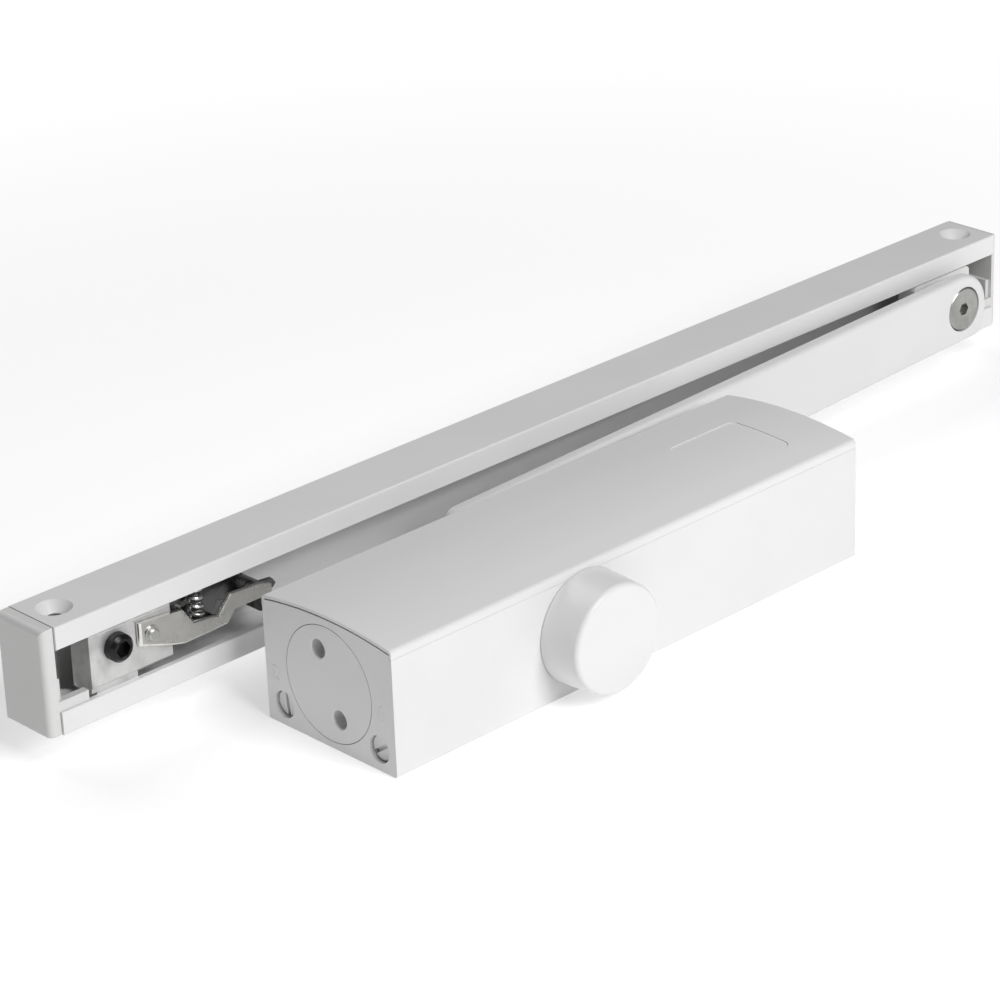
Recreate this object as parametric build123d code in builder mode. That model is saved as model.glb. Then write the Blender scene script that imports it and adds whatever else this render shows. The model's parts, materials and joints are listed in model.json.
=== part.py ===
from build123d import *
import os
from math import acos, cos, degrees, pi, radians, sin, sqrt, tan

os.makedirs("parts", exist_ok=True)

# Slide arm door closer in its closed-door position, lying on its mounting side. Sizes are in millimetres.
# X runs along the closer body from its valve end, Y from its capped side to the rail, Z away from the door.
# The origin is on the mounting plane, straight below the spindle axis and at mid-width of the body.

# Clearances
running_gap = 0.05
seat_gap = 0.1
swing_gap = 0.3

# Closer body
body_length = 217.0
body_width = 61.0
side_height = 44.2
crown = 2.6
spindle_to_near_end = 83.6
axis_height = 22.5
base_edge_radius = 0.8

# Cover
cover_wall = 1.0
cover_to_crown_gap = 0.55
cover_skirt = 3.0
cover_edge_radius = 1.6
leg_width = 10.0
leg_wall = 1.4
leg_reach = 9.0
leg_hook = 0.7
leg_stations = (-62.0, 37.0, 90.0)
badge_length = 33.0
badge_width = 28.0
badge_corner = 3.0
badge_depth = 0.35
badge_from_far_end = 36.5
badge_from_middle = 5.0

# Cylinder and end plugs
cylinder_radius = 18.0
plug_radius = 20.3
plug_flange = 12.0
plug_nose = 7.0
plug_ring_gap = 0.25
pin_hole_radius = 3.25
pin_hole_depth = 6.0
pin_hole_chamfer = 0.3
pin_circle_radius = 12.0
pin_turn = 21.0
seal_section = 1.1
seal_groove_width = 2.6
seal_sides = 8

# Spindle, gland nuts and bearings
spindle_radius = 8.0
pinion_teeth = 10
pinion_module = 1.6
pressure_angle = radians(20)
profile_shift = 0.42
pinion_addendum = 2.0
pinion_root_radius = 6.7
pinion_width = 22.0
mesh_backlash = 0.2
bearing_radius = 13.0
bearing_width = 7.0
nut_radius = 15.0
nut_thickness = 3.5
nut_boss_radius = 11.5
nut_pin_hole_radius = 1.2
front_boss_length = 6.0
back_boss_length = 4.5
lip_seal_radius = 10.4
lip_seal_width = 3.0
square_side = 11.0
front_stub_length = 6.5

# Round cap over the unused spindle end
cap_radius = 19.95
cap_face_radius = 19.2
cap_height = 16.0
cap_wall = 1.8
cap_rim_radius = 1.8
cap_base_gap = 0.25

# Piston
spindle_turn_limit = radians(150)
window_play = 1.2
piston_head = 14.0
spring_cup_depth = 6.0
piston_seal_inset = 4.0
ball_radius = 2.4
ball_pocket_radius = 2.6
ball_pocket_depth = 7.0
ball_ring_width = 1.0
oil_port_radius = 1.5

# Closing spring
spring_wire_radius = 2.1
spring_mean_radius = 13.0
spring_turns = 9
spring_wire_sides = 6
spring_seat_thickness = 3.0
spring_pilot_length = 4.0

# Valve screws
valve_from_side = 7.9
valve_height = 7.45
valve_recess_radius = 4.75
valve_recess_depth = 1.5
valve_head_radius = 4.2
valve_head_length = 3.0
valve_shank_radius = 3.0
valve_shank_length = 14.0
valve_needle_radius = 1.4
valve_needle_length = 7.0
valve_slot_width = 1.3
valve_slot_depth = 1.3
valve_seal_section = 0.6
valve_slot_turns = {"closing": -7.5, "latching": 55.0}

# Fixing holes of the body
fixing_hole_radius = 3.0
fixing_head_radius = 5.2
fixing_spacing_x = 150.0
fixing_from_side = 7.0
fixing_centre_x = 37.0
fixing_seat_height = 30.0

# Slide arm
arm_gap = 9.4
arm_thickness = 5.0
arm_reach = 277.65
arm_rise = 8.65
arm_width_at_spindle = 29.5
arm_width_at_pivot = 26.7
arm_shoulder = 7.5
arm_shoulder_radius = 6.0
arm_end_overhang = 13.3
arm_end_top_radius = 14.0
arm_end_low_radius = 6.5
arm_hub_radius = 12.4
arm_hub_gap = 1.5
arm_edge_radius = 1.6
arm_back_edge_radius = 0.8

# Arm screw, pivot screw and bush
arm_screw_radius = 3.0
arm_screw_head_radius = 6.0
arm_screw_length = 16.0
arm_screw_socket = 4.0
pivot_head_radius = 8.5
pivot_head_thickness = 2.0
pivot_head_chamfer = 0.5
pivot_recess_radius = 8.9
pivot_shank_radius = 4.0
pivot_shank_length = 15.0
pivot_socket = 4.5
socket_depth = 2.6
bush_radius = 6.0
bush_flange_radius = 8.5
bush_flange_thickness = 0.9

# Rail
rail_length = 458.5
rail_past_pivot = 30.7
rail_height = 37.85
rail_depth = 23.7
rail_gap = 6.0
rail_wall = 2.0
rail_top_wall = 3.5
rail_lip_wall = 2.2
slot_from_bottom = 8.0
slot_height = 21.8
rail_edge_radius = 0.6
lip_edge_radius = 0.5
rail_hole_radius = 2.75
rail_countersink_radius = 6.1
rail_hole_inset = 9.0
rail_hole_from_front = 12.0
left_cap_plate = 4.6
right_cap_plate = 3.0
end_cap_edge_radius = 2.2
end_cap_back_radius = 0.5
end_cap_front_inset = 0.9
end_cap_top_inset = 0.2
end_cap_seam = 0.2
end_cap_floor = 1.5
end_cap_rib_top = 31.0
end_cap_bore_radius = 4.9
tongue_length = 11.5
tongue_height = 3.6
cap_boss_radius = 6.3
cap_boss_height = 3.7

# Slide block
block_length = 32.6
block_flange_thickness = 5.6
block_flange_height = 30.0
block_neck_inset = 0.2
block_boss_radius = 9.0
nose_length = 16.0
nose_thickness = 4.4
nose_below_middle = 10.2
nose_above_bottom = 7.8
nose_ramp = 4.0
nose_notch_inset = 6.0

# Hold-open catch
catch_from_rail_end = 13.55
catch_length = 33.0
catch_foot_length = 18.6
catch_foot_depth = 9.2
catch_low = 0.75
catch_high = 0.65
catch_inset = 1.2
catch_depth = 5.9
catch_edge = 0.5
catch_bevel = 2.4
clamp_screw_inset = 10.2
clamp_screw_above_middle = 3.5
clamp_screw_radius = 3.0
clamp_head_radius = 4.7
clamp_head_length = 6.0
clamp_counterbore = 2.0
clamp_socket = 5.0
clamp_head_chamfer = 1.1
lever_pin_inset = 23.4
lever_pin_above_middle = 3.5
lever_pin_radius = 2.0
lever_rivet_radius = 2.8
lever_rivet_collar = 0.4
lever_rivet_length = 1.5
lever_rivet_edge = 0.4
lever_plate = 1.5
lever_eye = 5.0
lever_bend_radius = 1.1
lever_web_start = 13.2
lever_web_end = 30.4
lever_web_drop = 8.8
lever_web_slope = 0.4
lever_toe = 1.2
lever_shoulder_rise = 3.7
lever_notch_drop = 2.3
lever_notch_slope = 1.3
lever_riser_run = 4.0
lever_arm_drop = 3.8
lever_arm_rise = 2.0
lever_rear_rise = 4.6
lever_rear_drop = 6.2
lever_nose = 59.2
lever_nose_length = 7.4
lever_nose_low = 8.6
lever_nose_high = 3.6
roller_radius = 4.0
roller_pin_radius = 1.2
roller_pin_head = 0.5
roller_from_pin = 47.7
roller_below_pin = 5.85
roller_ear_radius = 2.3
catch_spring_radius = 2.35
catch_spring_wire = 0.55
catch_spring_wire_sides = 6
catch_spring_turns = 6
catch_spring_offset = 0.9
bracket_thickness = 1.5
bracket_length = 52.0
bracket_tab = 6.0

# Levels and faces that follow from the sizes above
near_x = -spindle_to_near_end
far_x = near_x + body_length
half_width = body_width / 2
seam_z = side_height - cover_skirt
top_z = side_height + crown
neck_half_width = half_width - cover_wall - seat_gap
crown_drop = cover_wall + cover_to_crown_gap
fixing_spacing_y = body_width - 2 * fixing_from_side
valve_offset = half_width - valve_from_side
pinion_radius = pinion_module * pinion_teeth / 2
pinion_tip_radius = pinion_radius + pinion_addendum
arm_front = half_width + arm_gap
arm_back = arm_front + arm_thickness
pivot_x = arm_reach
pivot_z = axis_height + arm_rise
rail_front = arm_back + rail_gap
rail_back = rail_front + rail_depth
rail_right = pivot_x + rail_past_pivot
rail_left = rail_right - rail_length
lip_back = rail_front + rail_lip_wall
slot_middle = pivot_z
slot_bottom = slot_middle - slot_height / 2
slot_top = slot_middle + slot_height / 2
rail_bottom = slot_bottom - slot_from_bottom
rail_top = rail_bottom + rail_height
channel_floor = rail_bottom + rail_wall
channel_ceiling = rail_top - rail_top_wall
channel_back = rail_back - rail_wall
catch_left = rail_left + catch_from_rail_end
catch_front = rail_front + catch_inset
catch_back = lip_back + catch_depth
pin_x = catch_left + lever_pin_inset
pin_z = slot_middle + lever_pin_above_middle
roller_x = pin_x + roller_from_pin
roller_z = pin_z - roller_below_pin
spindle_axis = Axis((0, 0, axis_height), (0, 1, 0))
cylinder_axis = Axis((0, 0, axis_height), (1, 0, 0))


def facing_front(y):
    """Plane across the body at y, seen from the capped side: X right, Z up, extruding towards the front."""
    return Plane(origin=(0, y, 0), x_dir=(1, 0, 0), z_dir=(0, -1, 0))


def turned_across(x, z, points):
    """Piece turned about the line through (x, z) along Y, from (radius, y) points."""
    with BuildPart() as piece:
        with BuildSketch(Plane(origin=(x, 0, z), x_dir=(1, 0, 0), z_dir=(0, 0, 1))):
            Polygon(*points)
        revolve(axis=Axis((x, 0, z), (0, 1, 0)))
    return piece


def turned_along(y, z, points):
    """Piece turned about the line through (y, z) along X, from (x, radius) points."""
    with BuildPart() as piece:
        with BuildSketch(Plane(origin=(0, y, z), x_dir=(1, 0, 0), z_dir=(0, -1, 0))):
            Polygon(*points)
        revolve(axis=Axis((0, y, z), (1, 0, 0)))
    return piece


def nearest(vertices, x, y):
    """The vertex of a sketch that lies nearest to (x, y)."""
    return vertices.sort_by_distance((x, y, 0))[0]


def hook_outline(side, play):
    """Section of one snap leg of the cover, or of its pocket in the housing when play is given."""
    outer = half_width - cover_wall
    inner = outer - leg_wall - play
    foot = seam_z - leg_reach - play
    hook_height = 2 * (leg_hook + play)
    head = top_z if play else side_height - 0.2 * cover_wall
    points = [(outer, head), (outer, foot), (inner, foot), (inner - leg_hook, foot + hook_height / 2),
              (inner, foot + hook_height), (inner, head)]
    return [(side * y, z) for y, z in points]


# Housing: a casting with the cylinder along X, the spindle bore across it and a neck for the cover
with BuildPart() as closer_housing:
    with BuildSketch(Plane.YZ.offset(near_x)) as housing_section:
        with BuildLine():
            Polyline((-neck_half_width, side_height - crown_drop), (-neck_half_width, seam_z),
                     (-half_width, seam_z), (-half_width, 0), (half_width, 0), (half_width, seam_z),
                     (neck_half_width, seam_z), (neck_half_width, side_height - crown_drop))
            ThreePointArc((neck_half_width, side_height - crown_drop), (0, top_z - crown_drop),
                          (-neck_half_width, side_height - crown_drop))
        make_face()
        fillet(housing_section.vertices().group_by(Axis.Y)[0], base_edge_radius)
    extrude(amount=body_length)
    for end_x, outward in ((near_x, -1), (far_x, 1)):
        with Locations(Plane(origin=(end_x, 0, axis_height), z_dir=(outward, 0, 0))):
            CounterBoreHole(cylinder_radius, plug_radius, plug_flange, depth=body_length)
    for side in (-1, 1):
        with Locations(Plane(origin=(0, side * half_width, axis_height), z_dir=(0, side, 0))):
            CounterBoreHole(pinion_tip_radius + swing_gap, bearing_radius, nut_thickness + bearing_width,
                            depth=half_width)
            Hole(nut_radius, depth=nut_thickness)
    with Locations((fixing_centre_x, 0, top_z)):
        with GridLocations(fixing_spacing_x, fixing_spacing_y, 2, 2):
            CounterBoreHole(fixing_hole_radius, fixing_head_radius, top_z - fixing_seat_height, depth=top_z)
    for side in (-1, 1):
        head_room = valve_recess_depth + valve_head_length
        with Locations(Plane(origin=(near_x, side * valve_offset, valve_height), z_dir=(-1, 0, 0))):
            CounterBoreHole(valve_shank_radius + running_gap, valve_recess_radius, head_room,
                            depth=head_room + valve_shank_length)
            Hole(valve_needle_radius + swing_gap, depth=head_room + valve_shank_length + valve_needle_length)
    for station in leg_stations:
        for side in (-1, 1):
            with BuildSketch(Plane.YZ.offset(station - leg_width / 2 - swing_gap)):
                Polygon(*hook_outline(side, swing_gap))
            extrude(amount=leg_width + 2 * swing_gap, mode=Mode.SUBTRACT)

# Cover: a thin arched shell with short skirts, snap legs inside and a plain shallow panel near its far end
with BuildPart() as panel_recess:
    with BuildSketch(Plane.XY.offset(seam_z)):
        with Locations((far_x - badge_from_far_end, -badge_from_middle)):
            RectangleRounded(badge_length, badge_width, badge_corner)
    extrude(amount=2 * crown + cover_skirt)
    with BuildSketch(Plane.YZ.offset(near_x)):
        with BuildLine():
            floor_z = side_height - badge_depth
            Polyline((-half_width, floor_z), (-half_width, 0), (half_width, 0), (half_width, floor_z))
            ThreePointArc((half_width, floor_z), (0, floor_z + crown), (-half_width, floor_z))
        make_face()
    extrude(amount=body_length, mode=Mode.SUBTRACT)

with BuildPart() as housing_cover:
    with BuildSketch(Plane.YZ.offset(near_x)) as cover_section:
        with BuildLine():
            foot_z = seam_z + seat_gap
            Polyline((-half_width, side_height), (-half_width, foot_z), (half_width, foot_z),
                     (half_width, side_height))
            ThreePointArc((half_width, side_height), (0, top_z), (-half_width, side_height))
        make_face()
        fillet(cover_section.vertices().group_by(Axis.Y)[-1], cover_edge_radius)
        with BuildLine():
            inner_half = half_width - cover_wall
            inner_z = side_height - cover_wall
            Polyline((-inner_half, inner_z), (-inner_half, 0), (inner_half, 0), (inner_half, inner_z))
            ThreePointArc((inner_half, inner_z), (0, inner_z + crown), (-inner_half, inner_z))
        make_face(mode=Mode.SUBTRACT)
    extrude(amount=body_length)
    for station in leg_stations:
        for side in (-1, 1):
            with BuildSketch(Plane.YZ.offset(station - leg_width / 2)):
                Polygon(*hook_outline(side, 0))
            extrude(amount=leg_width)
    add(panel_recess.part, mode=Mode.SUBTRACT)


def end_plug(mouth_x, inward):
    """Screwed plug of one cylinder end: a nose with a seal ring, and two holes for a pin wrench."""
    nose_radius = cylinder_radius - running_gap
    shoulder = mouth_x + inward * plug_flange
    tip = shoulder + inward * plug_nose
    groove_near = tip - inward * (plug_nose + seal_groove_width) / 2
    groove_far = groove_near + inward * seal_groove_width
    groove_floor = nose_radius - 2 * seal_section
    rim = plug_radius - plug_ring_gap
    with BuildPart() as piece:
        with BuildSketch(Plane(origin=(0, 0, axis_height), x_dir=(1, 0, 0), z_dir=(0, -1, 0))):
            Polygon((mouth_x, 0), (mouth_x, rim), (shoulder, rim), (shoulder, nose_radius),
                    (groove_near, nose_radius), (groove_near, groove_floor), (groove_far, groove_floor),
                    (groove_far, nose_radius), (tip, nose_radius), (tip, 0))
        revolve(axis=cylinder_axis)
        with Locations(Plane(origin=(mouth_x, 0, axis_height), x_dir=(0, 1, 0), z_dir=(-inward, 0, 0))):
            with PolarLocations(pin_circle_radius, 2, start_angle=pin_turn - 90):
                Hole(pin_hole_radius, depth=pin_hole_depth)
        mouth_edges = piece.edges().filter_by(GeomType.CIRCLE).filter_by(
            lambda edge: abs(edge.radius - pin_hole_radius) < pin_hole_chamfer / 2
            and abs(edge.center().X - mouth_x) < pin_hole_chamfer / 2)
        chamfer(mouth_edges, pin_hole_chamfer)
    return piece


end_plug_near = end_plug(near_x, 1)
end_plug_far = end_plug(far_x, -1)

with BuildPart() as plug_seals:
    with BuildSketch(Plane(origin=(0, 0, axis_height), x_dir=(1, 0, 0), z_dir=(0, -1, 0))):
        seal_station = plug_flange + plug_nose / 2
        with Locations((near_x + seal_station, cylinder_radius - running_gap - seal_section),
                       (far_x - seal_station, cylinder_radius - running_gap - seal_section)):
            RegularPolygon(seal_section, seal_sides)
    revolve(axis=cylinder_axis)


def bearing(side):
    """Plain bearing ring of the spindle, pressed in behind the gland nut on one side."""
    inner = side * (half_width - nut_thickness - bearing_width)
    outer = side * (half_width - nut_thickness)
    bore = spindle_radius + running_gap
    relief = bore + (bearing_radius - bore) / 2
    inset = inner + side * bearing_width / 6
    return turned_across(0, axis_height, [(bore, inner), (bore, outer), (bearing_radius, outer),
                                          (bearing_radius, inner), (relief, inner), (relief - 1, inset),
                                          (bore + 1, inset), (bore + 1, inner)])


def gland_nut(side, boss_length):
    """Threaded ring that closes one side of the spindle bore and holds its lip seal."""
    inner = side * (half_width - nut_thickness)
    seal_end = inner + side * lip_seal_width
    face = side * half_width
    tip = face + side * boss_length
    bore = spindle_radius + swing_gap
    with BuildPart() as piece:
        with BuildSketch(Plane.XY.offset(axis_height)):
            Polygon((lip_seal_radius, inner), (nut_radius, inner), (nut_radius, face),
                    (nut_boss_radius, face), (nut_boss_radius, tip), (bore, tip), (bore, seal_end),
                    (lip_seal_radius, seal_end))
        revolve(axis=spindle_axis)
        with Locations(Plane(origin=(0, face, axis_height), x_dir=(1, 0, 0), z_dir=(0, side, 0))):
            with PolarLocations((nut_boss_radius + nut_radius) / 2, 4):
                Hole(nut_pin_hole_radius, depth=nut_thickness / 2)
    return piece


spindle_bearing_front = bearing(-1)
spindle_bearing_back = bearing(1)
gland_nut_front = gland_nut(-1, front_boss_length)
gland_nut_back = gland_nut(1, back_boss_length)

with BuildPart() as spindle_seals:
    with BuildSketch(Plane.XY.offset(axis_height)):
        for side in (-1, 1):
            inner = side * (half_width - nut_thickness)
            outer = inner + side * lip_seal_width
            lip = spindle_radius + running_gap
            Polygon((lip, inner), (lip_seal_radius, inner), (lip_seal_radius, outer), (lip, outer))
    revolve(axis=spindle_axis)

# Round cap that slips over the front gland nut and hides the unused spindle end
with BuildPart() as spindle_cap:
    with BuildSketch(Plane.XY.offset(axis_height)) as cap_section:
        base_y = -half_width - cap_base_gap
        face_y = -half_width - cap_height
        floor_y = face_y + cap_wall
        tube_bore = nut_boss_radius + running_gap
        tube_radius = tube_bore + cap_wall
        shell_bore = cap_face_radius - cap_wall
        Polygon((0, face_y), (cap_face_radius, face_y), (cap_radius, base_y), (shell_bore, base_y),
                (shell_bore, floor_y), (tube_radius, floor_y), (tube_radius, base_y), (tube_bore, base_y),
                (tube_bore, floor_y), (0, floor_y))
        fillet(nearest(cap_section.vertices(), cap_face_radius, face_y), cap_rim_radius)
    revolve(axis=spindle_axis)


# Pinion and rack: the involute flank holds from the base circle outwards, so the rack's teeth are cut short
# enough to meet only that part of it
base_radius = pinion_radius * cos(pressure_angle)
tooth_thickness = pinion_module * (pi / 2 + 2 * profile_shift * tan(pressure_angle))
rack_pitch = pi * pinion_module


def involute(angle):
    return tan(angle) - angle


def half_tooth_angle(radius):
    """Half the angle that a pinion tooth fills at a radius on its flank."""
    flank_angle = acos(base_radius / radius)
    return tooth_thickness / (2 * pinion_radius) + involute(pressure_angle) - involute(flank_angle)


def polar(radius, angle):
    return (radius * cos(angle), axis_height + radius * sin(angle))


journal_front = -half_width - front_boss_length - seat_gap
journal_back = half_width + back_boss_length + arm_hub_gap
square_end = arm_back - arm_screw_head_radius + arm_screw_radius - seat_gap

with BuildPart() as pinion_spindle:
    half_pinion = pinion_width / 2
    with BuildSketch(Plane.XY.offset(axis_height)):
        Polygon((0, journal_front), (spindle_radius, journal_front), (spindle_radius, -half_pinion),
                (pinion_root_radius, -half_pinion), (pinion_root_radius, half_pinion),
                (spindle_radius, half_pinion), (spindle_radius, journal_back), (0, journal_back))
    revolve(axis=spindle_axis)
    with BuildSketch(facing_front(half_pinion)):
        with BuildLine():
            steps = 4
            flank_height = pinion_tip_radius - base_radius
            flank_radii = [base_radius + flank_height * k / steps for k in range(steps + 1)]
            tooth_angle = 2 * pi / pinion_teeth
            root_half = half_tooth_angle(flank_radii[0])
            for tooth in range(pinion_teeth):
                middle = pi / 2 + (tooth + 0.5) * tooth_angle
                rising = [polar(r, middle - half_tooth_angle(r)) for r in flank_radii]
                falling = [polar(r, middle + half_tooth_angle(r)) for r in reversed(flank_radii)]
                root_start = polar(pinion_root_radius, middle - root_half)
                root_end = polar(pinion_root_radius, middle + root_half)
                next_root = polar(pinion_root_radius, middle + tooth_angle - root_half)
                Line(root_start, rising[0])
                Spline(*rising)
                ThreePointArc(rising[-1], polar(pinion_tip_radius, middle), falling[0])
                Spline(*falling)
                Line(falling[-1], root_end)
                ThreePointArc(root_end, polar(pinion_root_radius, middle + tooth_angle / 2), next_root)
        make_face()
    extrude(amount=pinion_width)
    with BuildSketch(facing_front(journal_front)):
        with Locations((0, axis_height)):
            Rectangle(square_side, square_side)
    extrude(amount=front_stub_length)
    with BuildSketch(facing_front(square_end)):
        with Locations((0, axis_height)):
            Rectangle(square_side, square_side)
    extrude(amount=square_end - journal_back)
    with Locations(Plane(origin=(0, square_end, axis_height), z_dir=(0, 1, 0))):
        Hole(arm_screw_radius, depth=arm_screw_length + seat_gap)

# Piston: a double head with a window between, whose upper edge is the rack
piston_travel = pinion_radius * spindle_turn_limit
window_left = -(pinion_tip_radius + piston_travel + window_play)
window_right = pinion_tip_radius + window_play
window_reach = pinion_tip_radius + window_play / 2
piston_left = window_left - piston_head
piston_right = window_right + piston_head
piston_radius = cylinder_radius - running_gap
rack_addendum = pinion_module * (1 - profile_shift)
rack_tooth = rack_pitch - tooth_thickness - mesh_backlash
piston_seal_stations = (piston_left + piston_seal_inset, piston_right - piston_seal_inset)


def rack_half(distance):
    """Half the width of a rack tooth at a distance outwards from the pitch line."""
    return rack_tooth / 2 + distance * tan(pressure_angle)


with BuildPart() as rack_piston:
    with BuildSketch(Plane.YZ.offset(piston_left)):
        with Locations((0, axis_height)):
            Circle(piston_radius)
    extrude(amount=piston_right - piston_left)
    with BuildSketch(facing_front(half_width)):
        ceiling = axis_height + window_reach
        teeth_tip = axis_height + pinion_radius - rack_addendum
        root_width = rack_half(window_reach - pinion_radius)
        tip_width = rack_half(-rack_addendum)
        outline = [(window_left, axis_height - window_reach), (window_right, axis_height - window_reach),
                   (window_right, ceiling)]
        first = int((window_right - root_width) // rack_pitch)
        last = -int((-window_left - root_width) // rack_pitch)
        for tooth in range(first, last - 1, -1):
            centre = tooth * rack_pitch
            outline += [(centre + root_width, ceiling), (centre + tip_width, teeth_tip),
                        (centre - tip_width, teeth_tip), (centre - root_width, ceiling)]
        outline.append((window_left, ceiling))
        Polygon(*outline)
    extrude(amount=body_width, mode=Mode.SUBTRACT)
    for side in (-1, 1):
        start = side * (pinion_width / 2 - swing_gap)
        with BuildSketch(facing_front(max(start, side * half_width))):
            with Locations(((window_left + window_right) / 2, axis_height)):
                Rectangle(window_right - window_left, 2 * window_reach)
        extrude(amount=half_width - abs(start), mode=Mode.SUBTRACT)
    for station in piston_seal_stations:
        with BuildSketch(Plane.YZ.offset(station - seal_groove_width / 2)):
            with Locations((0, axis_height)):
                Circle(cylinder_radius)
                Circle(piston_radius - 2 * seal_section, mode=Mode.SUBTRACT)
        extrude(amount=seal_groove_width, mode=Mode.SUBTRACT)
    with Locations(Plane(origin=(piston_right, 0, axis_height), z_dir=(1, 0, 0))):
        Hole(spring_mean_radius + spring_wire_radius + swing_gap, depth=spring_cup_depth)
    with Locations(Plane(origin=(piston_left, 0, axis_height), z_dir=(-1, 0, 0))):
        Hole(ball_pocket_radius, depth=ball_pocket_depth)
        Hole(oil_port_radius, depth=piston_head)

with BuildPart() as piston_seals:
    with BuildSketch(Plane(origin=(0, 0, axis_height), x_dir=(1, 0, 0), z_dir=(0, -1, 0))):
        with Locations(*[(station, piston_radius - seal_section) for station in piston_seal_stations]):
            RegularPolygon(seal_section, seal_sides)
    revolve(axis=cylinder_axis)

with BuildPart() as check_ball:
    ball_seat = piston_left + ball_pocket_depth
    ball_stand_off = sqrt(ball_radius ** 2 - oil_port_radius ** 2) + running_gap
    with Locations((ball_seat - ball_stand_off, 0, axis_height)):
        Sphere(ball_radius)

check_ring = turned_along(0, axis_height, [(piston_left, oil_port_radius), (piston_left, ball_pocket_radius),
                                           (piston_left + ball_ring_width, ball_pocket_radius),
                                           (piston_left + ball_ring_width, oil_port_radius)])

# Closing spring between the piston's cup and a seat on the far plug
spring_start = piston_right - spring_cup_depth
seat_face = far_x - plug_flange - plug_nose - spring_seat_thickness
with BuildPart() as closing_spring:
    coil_start = spring_start + spring_wire_radius + seat_gap
    coil_length = seat_face - spring_start - 2 * (spring_wire_radius + seat_gap)
    with BuildLine() as coil:
        Helix(pitch=coil_length / spring_turns, height=coil_length, radius=spring_mean_radius,
              center=(coil_start, 0, axis_height), direction=(1, 0, 0))
    with BuildSketch(Plane(origin=coil.line @ 0, z_dir=coil.line % 0)):
        RegularPolygon(spring_wire_radius, spring_wire_sides)
    sweep(is_frenet=True)

pilot_radius = spring_mean_radius - spring_wire_radius - swing_gap
spring_seat = turned_along(0, axis_height, [
    (seat_face + spring_seat_thickness, oil_port_radius), (seat_face + spring_seat_thickness,
                                                           cylinder_radius - swing_gap),
    (seat_face, cylinder_radius - swing_gap), (seat_face, pilot_radius),
    (seat_face - spring_pilot_length, pilot_radius), (seat_face - spring_pilot_length, oil_port_radius)])


def valve_screw(side, slot_turn):
    """Slotted regulating screw with a sealing groove and a needle point."""
    y = side * valve_offset
    face = near_x + valve_recess_depth
    collar = face + valve_head_length - seat_gap
    groove = collar + valve_shank_length / 3
    groove_end = groove + 2 * valve_seal_section + seat_gap
    groove_floor = valve_shank_radius - 2 * valve_seal_section
    shank_end = collar + valve_shank_length
    needle_end = shank_end + valve_needle_length - seat_gap
    with BuildPart() as piece:
        with BuildSketch(Plane(origin=(0, y, valve_height), x_dir=(1, 0, 0), z_dir=(0, -1, 0))):
            Polygon((face, 0), (face, valve_head_radius), (collar, valve_head_radius),
                    (collar, valve_shank_radius), (groove, valve_shank_radius), (groove, groove_floor),
                    (groove_end, groove_floor), (groove_end, valve_shank_radius),
                    (shank_end, valve_shank_radius), (shank_end, valve_needle_radius),
                    (needle_end - 2 * valve_needle_radius, valve_needle_radius), (needle_end, 0))
        revolve(axis=Axis((0, y, valve_height), (1, 0, 0)))
        with BuildSketch(Plane(origin=(face, y, valve_height), x_dir=(0, 1, 0), z_dir=(1, 0, 0))):
            Rectangle(valve_slot_width, 3 * valve_head_radius, rotation=slot_turn)
        extrude(amount=valve_slot_depth, mode=Mode.SUBTRACT)
    return piece


def valve_seal(side):
    """Seal ring in the groove of one valve screw."""
    y = side * valve_offset
    station = (near_x + valve_recess_depth + valve_head_length - seat_gap + valve_shank_length / 3
               + valve_seal_section + seat_gap / 2)
    with BuildPart() as piece:
        with BuildSketch(Plane(origin=(0, y, valve_height), x_dir=(1, 0, 0), z_dir=(0, -1, 0))):
            with Locations((station, valve_shank_radius - valve_seal_section)):
                RegularPolygon(valve_seal_section, seal_sides)
        revolve(axis=Axis((0, y, valve_height), (1, 0, 0)))
    return piece


closing_valve_screw = valve_screw(1, valve_slot_turns["closing"])
latching_valve_screw = valve_screw(-1, valve_slot_turns["latching"])
closing_valve_seal = valve_seal(1)
latching_valve_seal = valve_seal(-1)


# Slide arm: a tapering flat bar with a hub that sits on the spindle's square
def arm_middle(x):
    return axis_height + arm_rise * x / arm_reach


def arm_half(x):
    return (arm_width_at_spindle + (arm_width_at_pivot - arm_width_at_spindle) * x / arm_reach) / 2


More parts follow.
